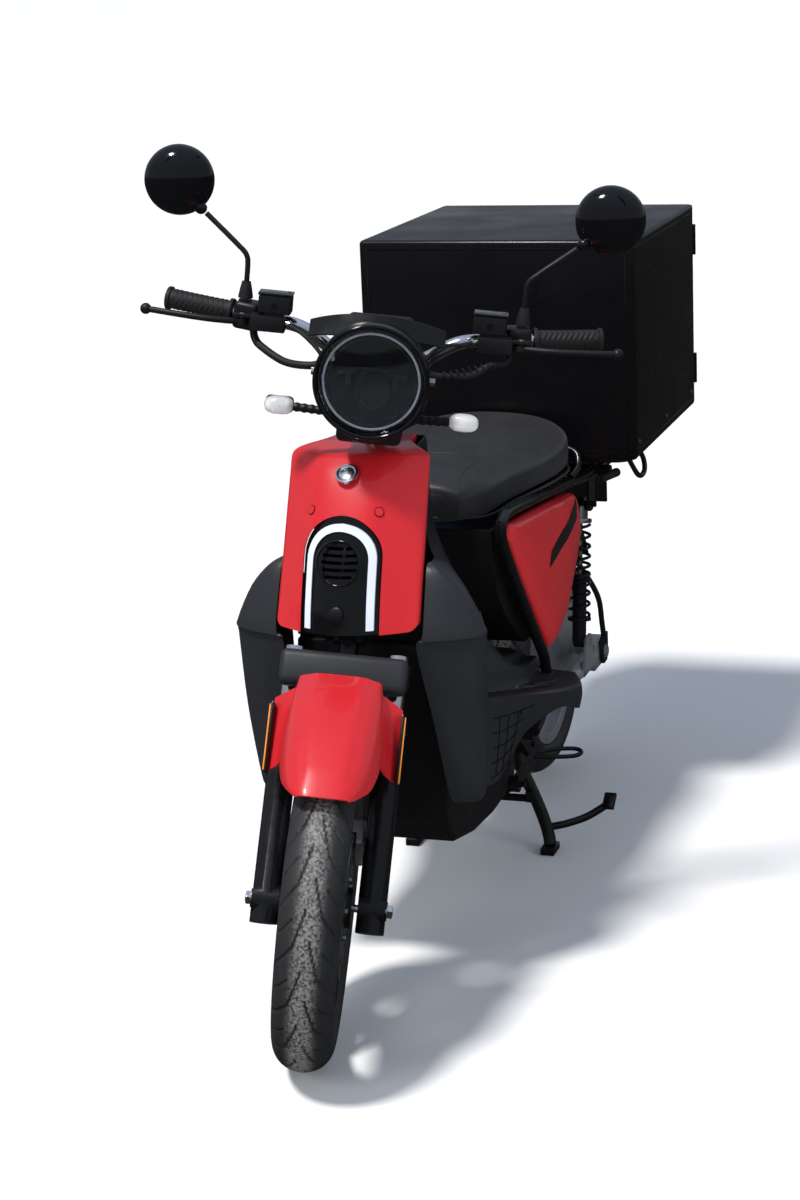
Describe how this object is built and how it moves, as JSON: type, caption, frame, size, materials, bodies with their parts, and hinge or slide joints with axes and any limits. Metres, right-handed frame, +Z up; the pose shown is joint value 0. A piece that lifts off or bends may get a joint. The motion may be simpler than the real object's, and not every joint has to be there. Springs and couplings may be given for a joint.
{
  "type": "moped scooter",
  "caption": "Electric delivery moped with step-through floor, steering fork, spinning wheels, sprung rear arm, seat lid, stands, mirrors and a rear cargo box with a door.",
  "frame": {"origin": "centre of the bounding box on the ground, standing on the centre stand and front wheel, steering turned 16 degrees to the rider's left", "axes": "+X towards the rider's left, +Y towards the rear, +Z up"},
  "size_m": [0.7546, 1.9354, 1.3538],
  "materials": {
    "battery_case": "matte",
    "black_paint": "satin",
    "black_plastic": "matte",
    "box_panel": "satin",
    "cast_aluminium": "cast",
    "chrome": "polished",
    "clear_lens": "clear",
    "dark_grey_plastic": "matte",
    "red_paint": "gloss",
    "rubber": "matte",
    "seat_vinyl": "satin",
    "steel": "brushed",
    "white_lens": "gloss"
  },
  "bodies": {
    "frame": {"frame": "black_paint", "rear_rack": "black_paint", "front_shield": "red_paint", "arch_panel": "black_plastic", "drl_light": "white_lens", "leg_shield": "dark_grey_plastic", "inner_leg_shield": "black_plastic", "lower_front_cover": "black_plastic", "floorboard": "dark_grey_plastic", "side_panel_left": "red_paint", "side_panel_right": "red_paint", "battery_housing": "black_plastic", "battery_pack": "battery_case", "box_shell": "box_panel", "tail_bracket": "black_plastic"},
    "steering": {"steering_stem": "black_paint", "fork_cover": "dark_grey_plastic", "stanchion_left": "chrome", "stanchion_right": "chrome", "handlebar": "chrome", "headlight_shell": "black_paint", "headlight_lens": "clear_lens", "visor": "black_plastic", "indicator_left": "white_lens", "indicator_right": "white_lens", "control_left": "black_plastic", "control_right": "black_plastic", "grip_left": "rubber"},
    "fork_lower": {"fork_lower_left": "black_paint", "fork_lower_right": "black_paint", "front_fender": "red_paint", "brake_caliper": "cast_aluminium", "front_axle": "chrome"},
    "front_wheel": {"front_tyre": "rubber", "front_rim": "black_paint", "front_disc": "steel"},
    "throttle": {"throttle_grip": "rubber"},
    "brake_lever_left": {"brake_lever_left": "black_plastic"},
    "brake_lever_right": {"brake_lever_right": "black_plastic"},
    "mirror_stalk_left": {"mirror_stalk_left": "black_plastic"},
    "mirror_stalk_right": {"mirror_stalk_right": "black_plastic"},
    "mirror_head_left": {"mirror_head_left": "black_paint"},
    "mirror_head_right": {"mirror_head_right": "black_paint"},
    "horn_button": {"horn_button": "red_paint"},
    "turn_switch": {"turn_switch": "white_lens"},
    "seat": {"seat": "seat_vinyl"},
    "box_door": {"box_door": "box_panel"},
    "box_latch": {"box_latch": "steel"},
    "center_stand": {"center_stand": "black_paint"},
    "side_stand": {"side_stand": "black_paint"},
    "swingarm": {"swingarm": "cast_aluminium", "rear_mudguard": "black_plastic"},
    "rear_wheel": {"rear_tyre": "rubber", "hub_motor": "cast_aluminium"},
    "shock_body_left": {"shock_body_left": "black_plastic"},
    "shock_body_right": {"shock_body_right": "black_plastic"},
    "shock_rod_left": {"shock_rod_left": "chrome", "shock_spring_left": "black_paint"},
    "shock_rod_right": {"shock_rod_right": "chrome", "shock_spring_right": "black_paint"}
  },
  "joints": [
    {"name": "steering_turn", "type": "hinge", "parent": "frame", "child": "steering", "pos_m": [-0.0371, -0.81565, 0], "axis": [0, 0.4695, 0.8829], "range_deg": [-56, 24]},
    {"name": "fork_travel", "type": "slide", "parent": "steering", "child": "fork_lower", "axis": [0, 0.4695, 0.8829], "range_m": [0, 0.05], "stiffness_N_per_m": 8000, "springref_m": -0.05},
    {"name": "front_wheel_spin", "type": "hinge", "parent": "fork_lower", "child": "front_wheel", "pos_m": [-0.02616, -0.72629, 0.24928], "axis": [0.9613, 0.2434, -0.1294], "continuous": true},
    {"name": "throttle_twist", "type": "hinge", "parent": "steering", "child": "throttle", "pos_m": [-0.27076, -0.37752, 1.09739], "axis": [0.9784, 0.0515, -0.2003], "range_deg": [0, 70]},
    {"name": "brake_lever_left_pull", "type": "hinge", "parent": "steering", "child": "brake_lever_left", "pos_m": [0.19887, -0.30426, 1.02601], "axis": [0.1294, 0.0161, 0.9915], "range_deg": [0, 12]},
    {"name": "brake_lever_right_pull", "type": "hinge", "parent": "steering", "child": "brake_lever_right", "pos_m": [-0.22121, -0.41061, 1.08257], "axis": [-0.1294, -0.0161, -0.9915], "range_deg": [0, 12]},
    {"name": "mirror_stalk_left_swivel", "type": "hinge", "parent": "steering", "child": "mirror_stalk_left", "pos_m": [0.19485, -0.27165, 1.05748], "axis": [0.1294, 0.0161, 0.9915], "range_deg": [-20, 20]},
    {"name": "mirror_head_left_tilt", "type": "hinge", "parent": "mirror_stalk_left", "child": "mirror_head_left", "pos_m": [0.28579, -0.23628, 1.17746], "axis": [0.9613, 0.2434, -0.1294], "range_deg": [-12, 12]},
    {"name": "mirror_stalk_right_swivel", "type": "hinge", "parent": "steering", "child": "mirror_stalk_right", "pos_m": [-0.22522, -0.378, 1.11403], "axis": [0.1294, 0.0161, 0.9915], "range_deg": [-20, 20]},
    {"name": "mirror_head_right_tilt", "type": "hinge", "parent": "mirror_stalk_right", "child": "mirror_head_right", "pos_m": [-0.28904, -0.38182, 1.25485], "axis": [0.9613, 0.2434, -0.1294], "range_deg": [-12, 12]},
    {"name": "horn_button_press", "type": "slide", "parent": "steering", "child": "horn_button", "axis": [0.2434, -0.9698, -0.0161], "range_m": [0, 0.0025]},
    {"name": "turn_switch_slide", "type": "slide", "parent": "steering", "child": "turn_switch", "axis": [0.9613, 0.2434, -0.1294], "range_m": [-0.002, 0.002]},
    {"name": "seat_open", "type": "hinge", "parent": "frame", "child": "seat", "pos_m": [-0.0371, -0.14265, 0.7], "axis": [1, 0, 0], "range_deg": [0, 80]},
    {"name": "box_door_open", "type": "hinge", "parent": "frame", "child": "box_door", "pos_m": [0.2189, 0.96025, 0.8995], "axis": [0, 0, -1], "range_deg": [0, 110]},
    {"name": "box_latch_turn", "type": "hinge", "parent": "box_door", "child": "box_latch", "pos_m": [-0.2421, 0.95525, 0.9], "axis": [0, 1, 0], "range_deg": [0, 90]},
    {"name": "center_stand_fold", "type": "hinge", "parent": "frame", "child": "center_stand", "pos_m": [-0.0371, 0.19935, 0.205], "axis": [1, 0, 0], "range_deg": [0, 70]},
    {"name": "side_stand_fold", "type": "hinge", "parent": "frame", "child": "side_stand", "pos_m": [0.0939, -0.01565, 0.204], "axis": [-1, 0, 0], "range_deg": [0, 95]},
    {"name": "swingarm_travel", "type": "hinge", "parent": "frame", "child": "swingarm", "pos_m": [-0.0371, 0.15235, 0.275], "axis": [1, 0, 0], "range_deg": [0, 5], "stiffness_Nm_per_rad": 1500, "springref_deg": -5.73, "deforming": ["shock_spring_left", "shock_spring_right"]},
    {"name": "rear_wheel_spin", "type": "hinge", "parent": "swingarm", "child": "rear_wheel", "pos_m": [-0.0371, 0.60235, 0.268], "axis": [1, 0, 0], "continuous": true},
    {"name": "shock_rod_left_swing", "type": "hinge", "parent": "frame", "child": "shock_rod_left", "pos_m": [0.0849, 0.51535, 0.585], "axis": [1, 0, 0], "range_deg": [-3, 0.5]},
    {"name": "shock_body_left_swing", "type": "hinge", "parent": "swingarm", "child": "shock_body_left", "pos_m": [0.0849, 0.48235, 0.322], "axis": [1, 0, 0], "range_deg": [-8, 0.5]},
    {"name": "shock_rod_right_swing", "type": "hinge", "parent": "frame", "child": "shock_rod_right", "pos_m": [-0.1591, 0.51535, 0.585], "axis": [1, 0, 0], "range_deg": [-3, 0.5]},
    {"name": "shock_body_right_swing", "type": "hinge", "parent": "swingarm", "child": "shock_body_right", "pos_m": [-0.1591, 0.48235, 0.322], "axis": [1, 0, 0], "range_deg": [-8, 0.5]}
  ],
  "couplings": [
    {"joint": "shock_rod_left_swing", "follows": "swingarm_travel", "ratio": -0.4},
    {"joint": "shock_body_left_swing", "follows": "swingarm_travel", "ratio": -1.4},
    {"joint": "shock_rod_right_swing", "follows": "swingarm_travel", "ratio": -0.4},
    {"joint": "shock_body_right_swing", "follows": "swingarm_travel", "ratio": -1.4}
  ]
}
